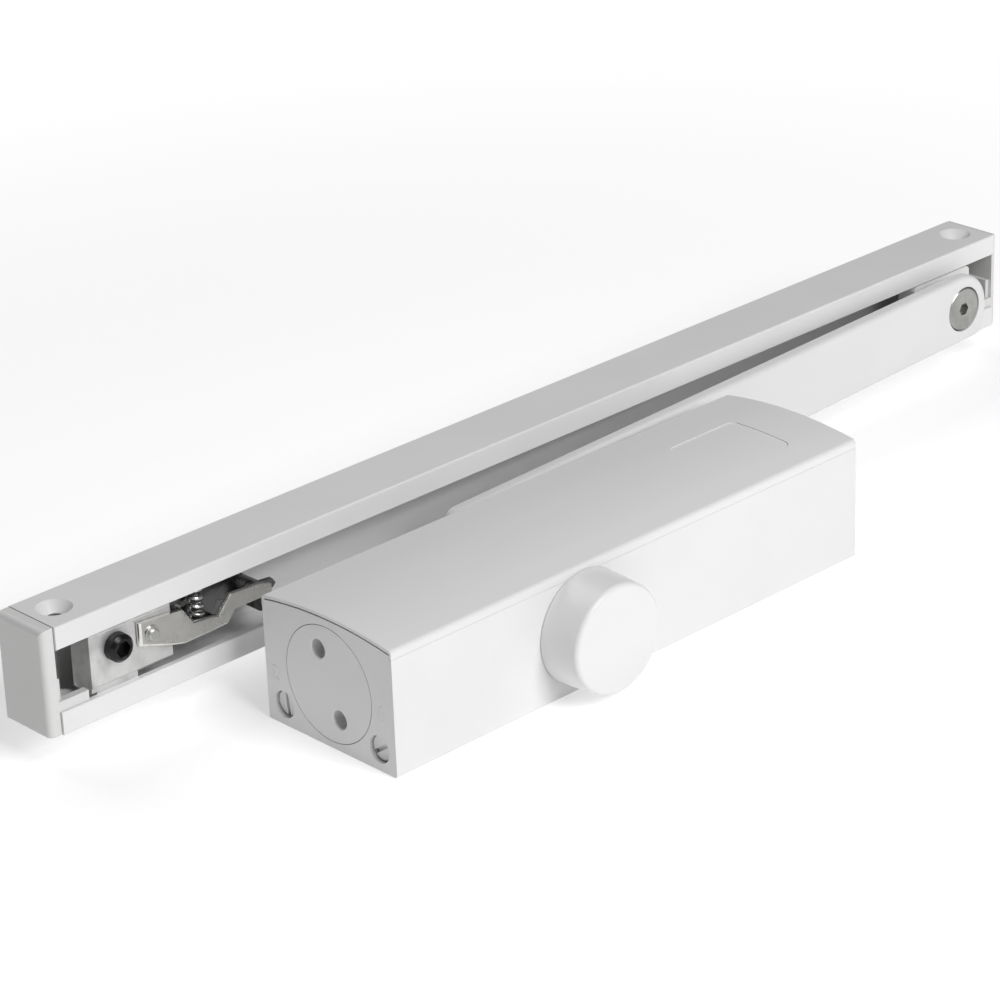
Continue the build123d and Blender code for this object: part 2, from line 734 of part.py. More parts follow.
with BuildPart() as slide_arm:
    arm_end = pivot_x + arm_end_overhang
    corners = [(arm_shoulder, arm_middle(arm_shoulder) - arm_half(arm_shoulder)),
               (arm_end, arm_middle(arm_end) - arm_half(arm_end)),
               (arm_end, arm_middle(arm_end) + arm_half(arm_end)),
               (arm_shoulder, arm_middle(arm_shoulder) + arm_half(arm_shoulder))]
    corner_radii = [arm_shoulder_radius, arm_end_low_radius, arm_end_top_radius, arm_shoulder_radius]
    with BuildSketch(facing_front(arm_back)) as arm_outline:
        Polygon(*corners)
        for corner, radius in zip(corners, corner_radii):
            fillet(nearest(arm_outline.vertices(), *corner), radius)
        with Locations((0, axis_height)):
            Circle(arm_hub_radius)
    extrude(amount=arm_thickness)
    fillet(slide_arm.faces().sort_by(Axis.Y)[0].outer_wire().edges(), arm_edge_radius)
    fillet(slide_arm.faces().sort_by(Axis.Y)[-1].outer_wire().edges(), arm_back_edge_radius)
    with BuildSketch(facing_front(arm_front + arm_edge_radius)):
        with Locations((0, axis_height)):
            Circle(arm_hub_radius)
    extrude(amount=arm_front + arm_edge_radius - journal_back)
    with BuildSketch(facing_front(square_end + seat_gap)):
        with Locations((0, axis_height)):
            Rectangle(square_side + 2 * running_gap, square_side + 2 * running_gap)
    extrude(amount=square_end + seat_gap - journal_back, mode=Mode.SUBTRACT)
    with Locations(Plane(origin=(0, arm_back, axis_height), z_dir=(0, 1, 0))):
        CounterSinkHole(arm_screw_radius + seat_gap, arm_screw_head_radius + seat_gap, depth=arm_thickness,
                        counter_sink_angle=90)
    with Locations(Plane(origin=(pivot_x, arm_front, pivot_z), z_dir=(0, -1, 0))):
        CounterBoreHole(bush_radius, pivot_recess_radius, pivot_head_thickness + 2 * seat_gap,
                        depth=arm_thickness)


def socket_cut(x, y, z, across_flats, outward):
    """Hexagon socket to subtract from a screw head whose face is at y and looks outward."""
    with BuildPart() as socket:
        with BuildSketch(Plane(origin=(x, y, z), x_dir=(1, 0, 0), z_dir=(0, -outward, 0))):
            RegularPolygon(across_flats / 2, 6, major_radius=False)
        extrude(amount=socket_depth)
    return socket


with BuildPart() as arm_screw:
    head_face = arm_back - seat_gap
    head_low = head_face - (arm_screw_head_radius - arm_screw_radius)
    with BuildSketch(Plane.XY.offset(axis_height)):
        Polygon((0, head_face), (arm_screw_head_radius, head_face), (arm_screw_radius, head_low),
                (arm_screw_radius, square_end - arm_screw_length), (0, square_end - arm_screw_length))
    revolve(axis=spindle_axis)
    add(socket_cut(0, head_face, axis_height, arm_screw_socket, 1).part, mode=Mode.SUBTRACT)

# Pivot between the arm and the slide block
recess_floor = arm_front + pivot_head_thickness + 2 * seat_gap
block_face = arm_back + bush_flange_thickness + seat_gap
pivot_bush = turned_across(pivot_x, pivot_z, [
    (pivot_shank_radius + running_gap, recess_floor), (bush_radius, recess_floor), (bush_radius, arm_back),
    (bush_flange_radius, arm_back), (bush_flange_radius, arm_back + bush_flange_thickness),
    (pivot_shank_radius + running_gap, arm_back + bush_flange_thickness)])

with BuildPart() as pivot_screw:
    head_front = arm_front + seat_gap
    head_back = head_front + pivot_head_thickness
    shank_end = head_back + pivot_shank_length
    with BuildSketch(Plane(origin=(pivot_x, 0, pivot_z), x_dir=(1, 0, 0), z_dir=(0, 0, 1))) as screw_section:
        Polygon((0, head_front), (pivot_head_radius, head_front), (pivot_head_radius, head_back),
                (pivot_shank_radius, head_back), (pivot_shank_radius, shank_end), (0, shank_end))
        chamfer(nearest(screw_section.vertices(), pivot_head_radius, head_front), pivot_head_chamfer)
    revolve(axis=Axis((pivot_x, 0, pivot_z), (0, 1, 0)))
    add(socket_cut(pivot_x, head_front, pivot_z, pivot_socket, -1).part, mode=Mode.SUBTRACT)

# Slide block: a neck in the rail's slot, flanges behind its lips and a nose that the catch roller holds
block_left = pivot_x - block_length / 2
flange_front = lip_back + swing_gap
flange_back = flange_front + block_flange_thickness
with BuildPart() as slide_block:
    with BuildSketch(facing_front(rail_front + block_neck_inset)):
        with Locations((pivot_x, pivot_z)):
            Circle(block_boss_radius)
    extrude(amount=rail_front + block_neck_inset - block_face)
    with BuildSketch(facing_front(flange_front)):
        with Locations((pivot_x, slot_middle)):
            RectangleRounded(block_length, slot_height - 2 * swing_gap, 2)
    extrude(amount=flange_front - rail_front - block_neck_inset)
    with BuildSketch(facing_front(flange_back)):
        with Locations((pivot_x, slot_middle)):
            RectangleRounded(block_length, block_flange_height, 1)
    extrude(amount=block_flange_thickness)
    nose_middle = (flange_front + flange_back) / 2
    with BuildSketch(facing_front(nose_middle + nose_thickness / 2)):
        nose_low = slot_middle - nose_below_middle
        nose_high = nose_low + nose_above_bottom
        nose_tip = block_left - nose_length
        Polygon((block_left, nose_low), (nose_tip, nose_low), (nose_tip, (nose_low + nose_high) / 2),
                (nose_tip + nose_ramp, nose_high), (block_left, nose_high))
        with Locations((block_left - nose_notch_inset, roller_z)):
            Circle(roller_radius + swing_gap, mode=Mode.SUBTRACT)
    extrude(amount=nose_thickness)
    with Locations(Plane(origin=(pivot_x, block_face, pivot_z), z_dir=(0, -1, 0))):
        Hole(pivot_shank_radius, depth=flange_back - block_face)

# Rail: a C section, countersunk through its top wall near each end
rail_hole_y = rail_front + rail_hole_from_front
rail_hole_xs = (rail_left + rail_hole_inset, rail_right - rail_hole_inset)
with BuildPart() as rail_profile:
    with BuildSketch(Plane.YZ.offset(rail_left)) as rail_section:
        with Locations((rail_front, rail_bottom)):
            Rectangle(rail_depth, rail_height, align=Align.MIN)
        fillet(rail_section.vertices(), rail_edge_radius)
        with Locations((lip_back, channel_floor)):
            Rectangle(channel_back - lip_back, channel_ceiling - channel_floor, align=Align.MIN,
                      mode=Mode.SUBTRACT)
        with Locations((rail_front, slot_bottom)):
            Rectangle(rail_lip_wall, slot_height, align=Align.MIN, mode=Mode.SUBTRACT)
        for lip_edge_z in (slot_bottom, slot_top):
            fillet(nearest(rail_section.vertices(), rail_front, lip_edge_z), lip_edge_radius)
    extrude(amount=rail_length)
    with Locations(*[(x, rail_hole_y, rail_top) for x in rail_hole_xs]):
        CounterSinkHole(rail_hole_radius, rail_countersink_radius, depth=rail_height, counter_sink_angle=90)


def rail_end_cap(mouth_x, inward, plate):
    """Moulded cap: a plate with a rib and a floor in the channel, a tongue in the slot and a screw ring."""
    plate_face = mouth_x - inward * end_cap_seam
    reach = mouth_x + inward * tongue_length
    rib_face = mouth_x + inward * end_cap_floor
    hole_x = mouth_x + inward * rail_hole_inset
    floor_z = channel_floor + seat_gap
    tongue_top = slot_bottom + tongue_height
    cap_front = rail_front + end_cap_front_inset
    tongue_back = lip_back + end_cap_floor
    with BuildPart() as piece:
        with BuildSketch(Plane.YZ.offset(plate_face)):
            with Locations((cap_front, rail_bottom)):
                Rectangle(rail_back - cap_front, rail_height - end_cap_top_inset, align=Align.MIN)
        extrude(amount=-inward * plate)
        outer_edges = piece.faces().filter_by(Axis.X).sort_by(Axis.X)[0 if inward > 0 else -1].edges()
        front_edge = outer_edges.filter_by(Axis.Z).sort_by(Axis.Y)[0]
        top_edge = outer_edges.filter_by(Axis.Y).sort_by(Axis.Z)[-1]
        fillet([front_edge, top_edge], min(end_cap_edge_radius, 0.9 * plate))
        outer_edges = piece.faces().filter_by(Axis.X).sort_by(Axis.X)[0 if inward > 0 else -1].edges()
        back_edge = outer_edges.filter_by(Axis.Z).sort_by(Axis.Y)[-1]
        low_edge = outer_edges.filter_by(Axis.Y).sort_by(Axis.Z)[0]
        fillet([back_edge, low_edge], end_cap_back_radius)
        with BuildSketch(Plane.XY.offset(floor_z)):
            with Locations(((plate_face + reach) / 2, (lip_back + channel_back) / 2)):
                Rectangle(abs(reach - plate_face), channel_back - lip_back - 2 * seat_gap)
        extrude(amount=end_cap_floor)
        with BuildSketch(Plane.XY.offset(floor_z)):
            with Locations(((plate_face + rib_face) / 2, (lip_back + channel_back) / 2)):
                Rectangle(abs(rib_face - plate_face), channel_back - lip_back - 2 * seat_gap)
        extrude(amount=end_cap_rib_top - floor_z)
        with BuildSketch(Plane.XY.offset(floor_z)):
            with Locations((hole_x, rail_hole_y)):
                Circle(cap_boss_radius)
        extrude(amount=cap_boss_height)
        with BuildSketch(Plane.XY.offset(slot_bottom + seat_gap)):
            with Locations(((plate_face + reach) / 2, (cap_front + tongue_back) / 2)):
                Rectangle(abs(reach - plate_face), tongue_back - cap_front)
        extrude(amount=tongue_height - seat_gap)
        with BuildSketch(Plane.XY.offset(floor_z)):
            with Locations(((plate_face + reach) / 2, (lip_back + seat_gap + tongue_back) / 2)):
                Rectangle(abs(reach - plate_face), tongue_back - lip_back - seat_gap)
        extrude(amount=tongue_top - floor_z)
        with Locations((hole_x, rail_hole_y, floor_z + cap_boss_height)):
            Hole(end_cap_bore_radius, depth=cap_boss_height)
    return piece


rail_end_cap_left = rail_end_cap(rail_left, 1, left_cap_plate)
rail_end_cap_right = rail_end_cap(rail_right, -1, right_cap_plate)

# Hold-open catch: a block clamped in the left end of the rail carries a sprung lever with a roller
catch_low_z = slot_bottom + catch_low
catch_high_z = slot_top - catch_high
clamp_x = catch_left + clamp_screw_inset
clamp_z = slot_middle + clamp_screw_above_middle
bracket_low = channel_ceiling - bracket_thickness - seat_gap
foot_low = channel_floor + swing_gap
foot_back = lip_back + catch_foot_depth
foot_right = catch_left + catch_foot_length
hook_left = rail_left + rail_hole_inset + cap_boss_radius + swing_gap

with BuildPart() as catch_block:
    with BuildSketch(facing_front(catch_back)):
        with Locations((catch_left, catch_low_z)):
            Rectangle(catch_length, catch_high_z - catch_low_z, align=Align.MIN)
    extrude(amount=catch_back - catch_front)
    chamfer(catch_block.faces().sort_by(Axis.Y)[0].edges().sort_by(Axis.Z)[0], catch_bevel)
    chamfer(catch_block.faces().sort_by(Axis.Y)[0].edges().sort_by(Axis.Z)[1:], catch_edge)
    with BuildSketch(facing_front(foot_back)):
        with Locations((catch_left, catch_low_z)):
            Rectangle(catch_foot_length, bracket_low - catch_low_z, align=Align.MIN)
        with Locations((hook_left, foot_low)):
            Rectangle(foot_right - hook_left, catch_low_z - foot_low, align=Align.MIN)
    extrude(amount=catch_foot_depth)
    with Locations(Plane(origin=(clamp_x, catch_front, clamp_z), z_dir=(0, -1, 0))):
        CounterBoreHole(clamp_screw_radius, clamp_head_radius + seat_gap, clamp_counterbore,
                        depth=foot_back - catch_front)
    with Locations(Plane(origin=(pin_x, catch_front, pin_z), z_dir=(0, -1, 0))):
        Hole(lever_pin_radius, depth=catch_back - catch_front)

with BuildPart() as catch_clamp_screw:
    head_back = catch_front + clamp_counterbore
    head_front = head_back - clamp_head_length
    with BuildSketch(Plane(origin=(clamp_x, 0, clamp_z), x_dir=(1, 0, 0), z_dir=(0, 0, 1))) as screw_section:
        Polygon((0, head_front), (clamp_head_radius, head_front), (clamp_head_radius, head_back),
                (clamp_screw_radius, head_back), (clamp_screw_radius, channel_back), (0, channel_back))
        chamfer(nearest(screw_section.vertices(), clamp_head_radius, head_front), clamp_head_chamfer)
    revolve(axis=Axis((clamp_x, 0, clamp_z), (0, 1, 0)))
    add(socket_cut(clamp_x, head_front, clamp_z, clamp_socket, -1).part, mode=Mode.SUBTRACT)

# The lever's two plates straddle the block and are joined by a web under the spring
front_plate_back = catch_front - swing_gap
front_plate_front = front_plate_back - lever_plate
rear_plate_front = catch_back + swing_gap
rear_plate_back = rear_plate_front + lever_plate
eye = lever_eye
low = -lever_web_drop
ear = roller_ear_radius
nose_low_z = -lever_nose_low
nose_rise = lever_nose_low - lever_nose_high
heel_points = [
    (lever_web_start - eye, low + lever_toe), (lever_web_start, low),
    (lever_web_end, low + lever_web_slope), (lever_web_end + lever_riser_run, -lever_arm_drop)]
front_plate_points = [
    (-eye, eye), (-eye, -0.65 * eye), *heel_points, (roller_from_pin - ear, -lever_arm_drop),
    (roller_from_pin - ear, -roller_below_pin), (roller_from_pin + ear, -roller_below_pin),
    (roller_from_pin + ear, lever_arm_rise - ear), (roller_from_pin - ear, lever_arm_rise - ear / 3),
    (lever_web_end + lever_riser_run / 2, lever_arm_rise),
    (lever_web_end - 0.75 * lever_riser_run, -lever_notch_drop - lever_notch_slope),
    (lever_web_start + lever_riser_run, -lever_notch_drop), (lever_web_start, lever_shoulder_rise)]
rear_plate_points = [
    (-eye / 2, eye), (-eye / 2, -eye / 2), *heel_points,
    (roller_from_pin - 1.4 * lever_riser_run, -lever_rear_drop),
    (lever_nose - lever_nose_length, nose_low_z),
    (lever_nose - lever_nose_length / 2, nose_low_z + 0.1 * nose_rise),
    (lever_nose - lever_nose_length / 7, nose_low_z + 0.25 * nose_rise),
    (lever_nose, nose_low_z + 0.5 * nose_rise),
    (lever_nose - lever_nose_length / 5, nose_low_z + 0.9 * nose_rise),
    (lever_nose - 0.85 * lever_nose_length, -lever_nose_high),
    (roller_from_pin - ear, lever_arm_rise), (lever_web_end, lever_rear_rise),
    (lever_web_start, lever_rear_rise)]


def from_pin(points):
    return [(pin_x + x, pin_z + z) for x, z in points]


with BuildPart() as catch_lever:
    for back, points in ((front_plate_back, front_plate_points), (rear_plate_back, rear_plate_points)):
        with BuildSketch(facing_front(back)):
            Polygon(*from_pin(points))
            with Locations((roller_x, roller_z)):
                Circle(roller_ear_radius)
        extrude(amount=lever_plate)
    with BuildSketch(facing_front(rear_plate_back)):
        Polygon(*from_pin([(lever_web_start, low), (lever_web_end, low + lever_web_slope),
                           (lever_web_end + lever_plate / 2, low + lever_plate),
                           (lever_web_start, low + lever_plate)]))
    extrude(amount=rear_plate_back - front_plate_front)
    front_outline = catch_lever.faces().sort_by(Axis.Y)[0].outer_wire().edges()
    bend_edges = front_outline.filter_by(
        lambda edge: edge.center().X < pin_x + lever_web_end
        and edge.center().Z < pin_z + eye / 2)
    fillet(bend_edges, lever_bend_radius)
    with Locations(Plane(origin=(pin_x, front_plate_front, pin_z), z_dir=(0, -1, 0))):
        Hole(lever_pin_radius + running_gap, depth=rear_plate_back - front_plate_front)
    with Locations(Plane(origin=(roller_x, front_plate_front, roller_z), z_dir=(0, -1, 0))):
        Hole(roller_pin_radius, depth=rear_plate_back - front_plate_front)

rivet_front = front_plate_front - seat_gap
rivet_back = rear_plate_back + seat_gap
rivet_tip = rivet_front - lever_rivet_length
lever_pin = turned_across(pin_x, pin_z, [
    (0, rivet_tip), (lever_pin_radius - lever_rivet_edge, rivet_tip),
    (lever_pin_radius, rivet_tip + lever_rivet_edge),
    (lever_pin_radius, rivet_front - lever_rivet_collar),
    (lever_rivet_radius, rivet_front - lever_rivet_collar), (lever_rivet_radius, rivet_front),
    (lever_pin_radius, rivet_front), (lever_pin_radius, rivet_back),
    (lever_rivet_radius, rivet_back), (lever_rivet_radius, rivet_back + lever_rivet_collar),
    (0, rivet_back + lever_rivet_collar)])

roller_pin = turned_across(roller_x, roller_z, [
    (0, front_plate_front - roller_pin_head), (roller_pin_radius, front_plate_front - roller_pin_head),
    (roller_pin_radius, rear_plate_back + roller_pin_head), (0, rear_plate_back + roller_pin_head)])

roller_bore = roller_pin_radius + running_gap
roller_front = front_plate_back + swing_gap
roller_back = rear_plate_front - swing_gap
catch_roller = turned_across(roller_x, roller_z, [
    (roller_bore, roller_front), (roller_radius, roller_front), (roller_radius, roller_back),
    (roller_bore, roller_back)])

# Catch spring between the lever's web and a bracket on top of the block
spring_x = pin_x + (lever_web_start + lever_web_end) / 2 + catch_spring_offset
spring_y = (lip_back + rear_plate_front) / 2
web_top = pin_z + low + lever_plate
with BuildPart() as catch_spring:
    catch_coil_start = web_top + catch_spring_wire + seat_gap
    catch_coil_length = bracket_low - web_top - 2 * (catch_spring_wire + seat_gap)
    with BuildLine() as catch_coil:
        Helix(pitch=catch_coil_length / catch_spring_turns, height=catch_coil_length,
              radius=catch_spring_radius, center=(spring_x, spring_y, catch_coil_start))
    with BuildSketch(Plane(origin=catch_coil.line @ 0, z_dir=catch_coil.line % 0)):
        RegularPolygon(catch_spring_wire, catch_spring_wire_sides)
    sweep(is_frenet=True)

with BuildPart() as catch_bracket:
    with BuildSketch(Plane.XY.offset(bracket_low)):
        with Locations((catch_left, lip_back + swing_gap)):
            Rectangle(bracket_length, catch_depth + lever_plate, align=Align.MIN)
    extrude(amount=bracket_thickness)
    with BuildSketch(Plane.XY.offset(bracket_low)):
        with Locations((spring_x, spring_y)):
            Circle(catch_spring_radius - catch_spring_wire - swing_gap)
    extrude(amount=-bracket_tab)

pieces = {
    "closer_housing": closer_housing,
    "housing_cover": housing_cover,
    "end_plug_near": end_plug_near,
    "end_plug_far": end_plug_far,
    "plug_seals": plug_seals,
    "spindle_bearing_front": spindle_bearing_front,
    "spindle_bearing_back": spindle_bearing_back,
    "gland_nut_front": gland_nut_front,
    "gland_nut_back": gland_nut_back,
    "spindle_seals": spindle_seals,
    "spindle_cap": spindle_cap,
    "pinion_spindle": pinion_spindle,
    "rack_piston": rack_piston,
    "piston_seals": piston_seals,
    "check_ball": check_ball,
    "check_ring": check_ring,
    "closing_spring": closing_spring,
    "spring_seat": spring_seat,
    "closing_valve_screw": closing_valve_screw,
    "latching_valve_screw": latching_valve_screw,
    "closing_valve_seal": closing_valve_seal,
    "latching_valve_seal": latching_valve_seal,
    "slide_arm": slide_arm,
    "arm_screw": arm_screw,
    "pivot_bush": pivot_bush,
    "pivot_screw": pivot_screw,
    "slide_block": slide_block,
    "rail_profile": rail_profile,
    "rail_end_cap_left": rail_end_cap_left,
    "rail_end_cap_right": rail_end_cap_right,
    "catch_block": catch_block,
    "catch_clamp_screw": catch_clamp_screw,
    "catch_lever": catch_lever,
    "lever_pin": lever_pin,
    "roller_pin": roller_pin,
    "catch_roller": catch_roller,
    "catch_spring": catch_spring,
    "catch_bracket": catch_bracket,
}

for name, piece in pieces.items():
    piece.part.label = name
    export_step(piece.part, f"parts/{name}.step")
    print(name, round(piece.part.volume, 1))
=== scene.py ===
# %% [markdown]
# A door closer holds a coil spring and an oil cylinder in a white body. Its flat arm ends in a slide
# block that runs along a rail on the door frame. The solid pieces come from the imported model, in metres,
# with the door's face at Z = 0. This lesson gives them their finishes, adds the fine pieces that are too
# small for the solids, and lights them as a product picture.

# %% Load the model
import json
from math import cos, pi, radians, sin

import bmesh
import bpy
from mathutils import Matrix, Vector


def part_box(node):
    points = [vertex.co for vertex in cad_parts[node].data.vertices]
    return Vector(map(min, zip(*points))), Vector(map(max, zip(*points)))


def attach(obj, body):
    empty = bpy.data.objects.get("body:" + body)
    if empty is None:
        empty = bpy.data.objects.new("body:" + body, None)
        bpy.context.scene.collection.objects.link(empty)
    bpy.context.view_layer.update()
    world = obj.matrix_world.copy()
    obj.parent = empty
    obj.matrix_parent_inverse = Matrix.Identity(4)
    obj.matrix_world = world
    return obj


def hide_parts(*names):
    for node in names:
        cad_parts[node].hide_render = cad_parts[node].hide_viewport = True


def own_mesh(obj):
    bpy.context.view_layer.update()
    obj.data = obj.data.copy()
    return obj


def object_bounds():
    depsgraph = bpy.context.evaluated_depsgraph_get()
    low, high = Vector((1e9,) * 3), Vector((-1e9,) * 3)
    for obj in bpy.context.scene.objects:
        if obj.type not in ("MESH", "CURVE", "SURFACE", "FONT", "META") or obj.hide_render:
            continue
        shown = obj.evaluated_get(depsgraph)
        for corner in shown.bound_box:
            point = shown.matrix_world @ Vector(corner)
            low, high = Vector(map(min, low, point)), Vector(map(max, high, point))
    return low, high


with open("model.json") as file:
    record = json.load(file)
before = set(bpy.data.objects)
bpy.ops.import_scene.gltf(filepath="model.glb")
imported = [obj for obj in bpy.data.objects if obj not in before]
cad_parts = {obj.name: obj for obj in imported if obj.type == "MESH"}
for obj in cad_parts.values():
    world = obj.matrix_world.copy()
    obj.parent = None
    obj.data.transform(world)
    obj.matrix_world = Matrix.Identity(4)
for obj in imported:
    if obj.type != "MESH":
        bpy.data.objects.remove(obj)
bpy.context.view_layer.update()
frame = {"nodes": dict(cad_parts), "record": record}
mm = 0.001

# %% [markdown]
# The camera comes first, because every later choice is judged through it. It stands in front of the
# valve end, to the left and above, with a long lens, so the edges stay nearly parallel. Its place and its
# three directions were worked out from the edges in the picture. The small shifts move the picture on the
# film without turning the camera.

# %% Camera
camera_place = Vector((-0.74167, -0.78680, 0.55025))
camera_right = Vector((0.71951, -0.69357, -0.03562)).normalized()
camera_look = Vector((0.62234, 0.66668, -0.41015)).normalized()
camera_up = camera_right.cross(camera_look).normalized()

lens = bpy.data.cameras.new("product_camera")
lens.lens = 131.42
lens.sensor_width = 36.0
lens.shift_x = 0.0019
lens.shift_y = -0.0165
lens.clip_start = 0.05
lens.clip_end = 20.0
camera = bpy.data.objects.new("product_camera", lens)
bpy.context.collection.objects.link(camera)
turn = Matrix((camera_right, camera_up, -camera_look)).transposed().to_4x4()
camera.matrix_world = Matrix.Translation(camera_place) @ turn
bpy.context.scene.camera = camera
print("camera distance in mm", round(camera_place.length / mm))

# %% [markdown]
# Shader patterns are easier to read as formulas than as wires. This small class wraps a node socket, so
# that adding or multiplying two patterns adds the Math node for it. Numbers on either side work as well.

# %% Formulas for shader values
class Value:
    """A socket that carries one number, with arithmetic that adds Math nodes."""

    def __init__(self, finish, socket):
        self.finish = finish
        self.socket = socket

    def _math(self, operation, first, second):
        settings = {"operation": operation}
        return self.finish.make("ShaderNodeMath", settings, {0: first, 1: second})

    def __add__(self, other):
        return self._math("ADD", self, other)

    def __radd__(self, other):
        return self._math("ADD", other, self)

    def __sub__(self, other):
        return self._math("SUBTRACT", self, other)

    def __rsub__(self, other):
        return self._math("SUBTRACT", other, self)

    def __mul__(self, other):
        return self._math("MULTIPLY", self, other)

    def __rmul__(self, other):
        return self._math("MULTIPLY", other, self)


# %% [markdown]
# A finish is one material. Its make method adds any node: first its settings, then its inputs, each one a
# plain value or the result of another node. Every finish ends in the same Principled shader, and what
# varies over the surface feeds only its colour, roughness, glow and bump.

# %% One method for every other node
class Finish:
    """A procedural material under construction."""

    def __init__(self, name):
        self.material = bpy.data.materials.new(name)
        self.material.use_nodes = True
        self.tree = self.material.node_tree
        self.tree.nodes.clear()
        self.place = self.make("ShaderNodeTexCoord", out="Object")

    def make(self, kind, settings=None, inputs=None, out=0):
        """Add a node and return the output that is asked for, or None from a node without outputs."""
        node = self.tree.nodes.new(kind)
        for key, value in (settings or {}).items():
            setattr(node, key, value)
        for key, value in (inputs or {}).items():
            if isinstance(value, Value):
                self.tree.links.new(value.socket, node.inputs[key])
            else:
                node.inputs[key].default_value = value
        return Value(self, node.outputs[out]) if len(node.outputs) else None

    def noise(self, scale, detail=2.0, stretch=(1, 1, 1)):
        """Noise with about scale spots per metre, stretched along an axis where its factor is small."""
        spread = self.make("ShaderNodeMapping", None, {"Vector": self.place, "Scale": stretch})
        settings = {"noise_dimensions": "3D"}
        return self.make("ShaderNodeTexNoise", settings, {"Vector": spread, "Scale": scale, "Detail": detail})

    def band(self, value, low, high):
        """0 below low, 1 above high, smooth in between."""
        settings = {"interpolation_type": "SMOOTHSTEP"}
        return self.make("ShaderNodeMapRange", settings, {"Value": value, "From Min": low, "From Max": high})

    def blend(self, factor, first, second):
        """Colour that goes from first to second with factor."""
        settings = {"data_type": "RGBA"}
        return self.make("ShaderNodeMix", settings, {0: factor, 6: (*first, 1), 7: (*second, 1)}, out=2)

    def bump(self, height, distance):
        return self.make("ShaderNodeBump", None, {"Height": height, "Distance": distance})

    def close(self, **sockets):
        """Connect the Principled shader, whose inputs are given with underscores for spaces."""
        inputs = {key.replace("_", " "): value for key, value in sockets.items()}
        shader = self.make("ShaderNodeBsdfPrincipled", None, inputs)
        self.make("ShaderNodeOutputMaterial", None, {"Surface": shader})
        return self.material


# %% [markdown]
# White powder coat is paint baked on as powder. It is satin, with a very fine orange peel: two layers of
# noise, one a little under a millimetre wide and one finer. A slow noise shifts the white a trace, so
# that large flat faces don't look like paper. Coated castings have a coarser peel than a drawn rail.

# %% White powder coat
def powder_coat(name, white, peel, depth, roughness_middle):
    """Satin paint with peel spots per metre, each up to depth high."""
    coat = Finish(name)
    slow = coat.noise(25)
    pebbles = coat.noise(peel, 3)
    grit = coat.noise(peel * 4, 1)
    shade = coat.blend(coat.band(slow, 0.35, 0.65), [v * 0.975 for v in white], white)
    roughness = roughness_middle + (pebbles - 0.5) * 0.12
    relief = coat.bump(pebbles * 0.7 + grit * 0.3, depth)
    return coat.close(Base_Color=shade, Roughness=roughness, Normal=relief)


coats = {
    "casting": powder_coat("casting_coat", (0.72, 0.72, 0.72), 1300, 0.00004, 0.46),
    "arm": powder_coat("arm_coat", (0.68, 0.68, 0.68), 1500, 0.00002, 0.40),
    "rail": powder_coat("rail_coat", (0.72, 0.72, 0.72), 1800, 0.00001, 0.42),
}
print("coats", sorted(coats))

# %% [markdown]
# The cover and the round cap are moulded plastic with a spark-eroded grain, finer and flatter than the
# coat. The end caps of the rail are a slightly warmer plastic, the kind that yellows first. The slide
# block, the roller and the seals share the same recipe, with their own colour and grain.

# %% Moulded plastic
def moulded(name, colour, grain, depth, roughness_middle):
    """Plastic with grain spots per metre, each up to depth high, and faint flow marks along X."""
    plastic = Finish(name)
    grains = plastic.noise(grain, 2)
    flow = plastic.noise(40, 1, (0.3, 1, 1))
    shade = plastic.blend(plastic.band(flow, 0.3, 0.7), colour, [v * 0.98 for v in colour])
    relief = plastic.bump(grains, depth)
    roughness = roughness_middle + (grains - 0.5) * 0.1
    return plastic.close(Base_Color=shade, Roughness=roughness, Normal=relief, IOR=1.48)


plastics = {
    "cover": moulded("cover_plastic", (0.72, 0.72, 0.72), 2500, 0.00002, 0.44),
    "cap": moulded("cap_plastic", (0.74, 0.74, 0.74), 2800, 0.00001, 0.38),
    "end_cap": moulded("end_cap_plastic", (0.63, 0.63, 0.625), 2200, 0.00002, 0.46),
    "slider": moulded("slider_plastic", (0.68, 0.68, 0.67), 1500, 0.00001, 0.35),
    "roller": moulded("roller_plastic", (0.025, 0.025, 0.026), 1500, 0.00001, 0.4),
    "rubber": moulded("seal_rubber", (0.02, 0.02, 0.02), 1800, 0.00002, 0.6),
}
print("plastics", sorted(plastics))

# %% [markdown]
# The lever, its rivet and the springs are bright steel. Pressed and rolled steel keeps fine scratches
# along one direction and duller patches, so a stretched noise drives both the roughness and a faint bump.
# The steel is metallic all over, and its colour is what it reflects. Drawn wire is smoother than plate, so
# it takes a smaller share of patches. On the rear plate inside its fold, the lever's colour is darkened:
# painted shade, for the shade that the rail's upper lip casts there.
# The socket screws and the dark plate are blackened instead, and rubbed a little paler here and there.

# %% Bright and dark steel
# Colour that darkens the lever's rear plate: painted shade, for the shade under the rail's upper lip.
rear_plate_shade_colour = (0.30, 0.31, 0.32)


def steel(name, colour, stretch, dull, bright, wear=0.18, painted_shade_y=None):
    """Bright metal whose roughness runs from bright to dull, with a share of wear in its colour.

    The scratches are stretched along X, Y and Z. Between the two Y values of the last argument its colour
    darkens, and it stays dark beyond them: painted shade.
    """
    metal = Finish(name)
    scratches = metal.noise(900, 3, stretch)
    patches = metal.noise(160, 2)
    worn = metal.band(patches, 0.35, 0.7)
    shade = metal.blend(worn, colour, [v * (1 - wear) for v in colour])
    # Painted shade: beyond the given Y values the colour is multiplied darker.
    if painted_shade_y:
        depth = metal.make("ShaderNodeSeparateXYZ", None, {"Vector": metal.place}, out="Y")
        painted_shade_mask = metal.band(depth, *painted_shade_y)
        settings = {"data_type": "RGBA", "blend_type": "MULTIPLY"}
        inputs = {0: painted_shade_mask, 6: shade, 7: (*rear_plate_shade_colour, 1)}
        shade = metal.make("ShaderNodeMix", settings, inputs, out=2)
    roughness = bright + (dull - bright) * worn + (scratches - 0.5) * 0.3 * wear
    relief = metal.bump(scratches, 0.00005 * wear)
    return metal.close(Base_Color=shade, Metallic=1.0, Roughness=roughness, Normal=relief)


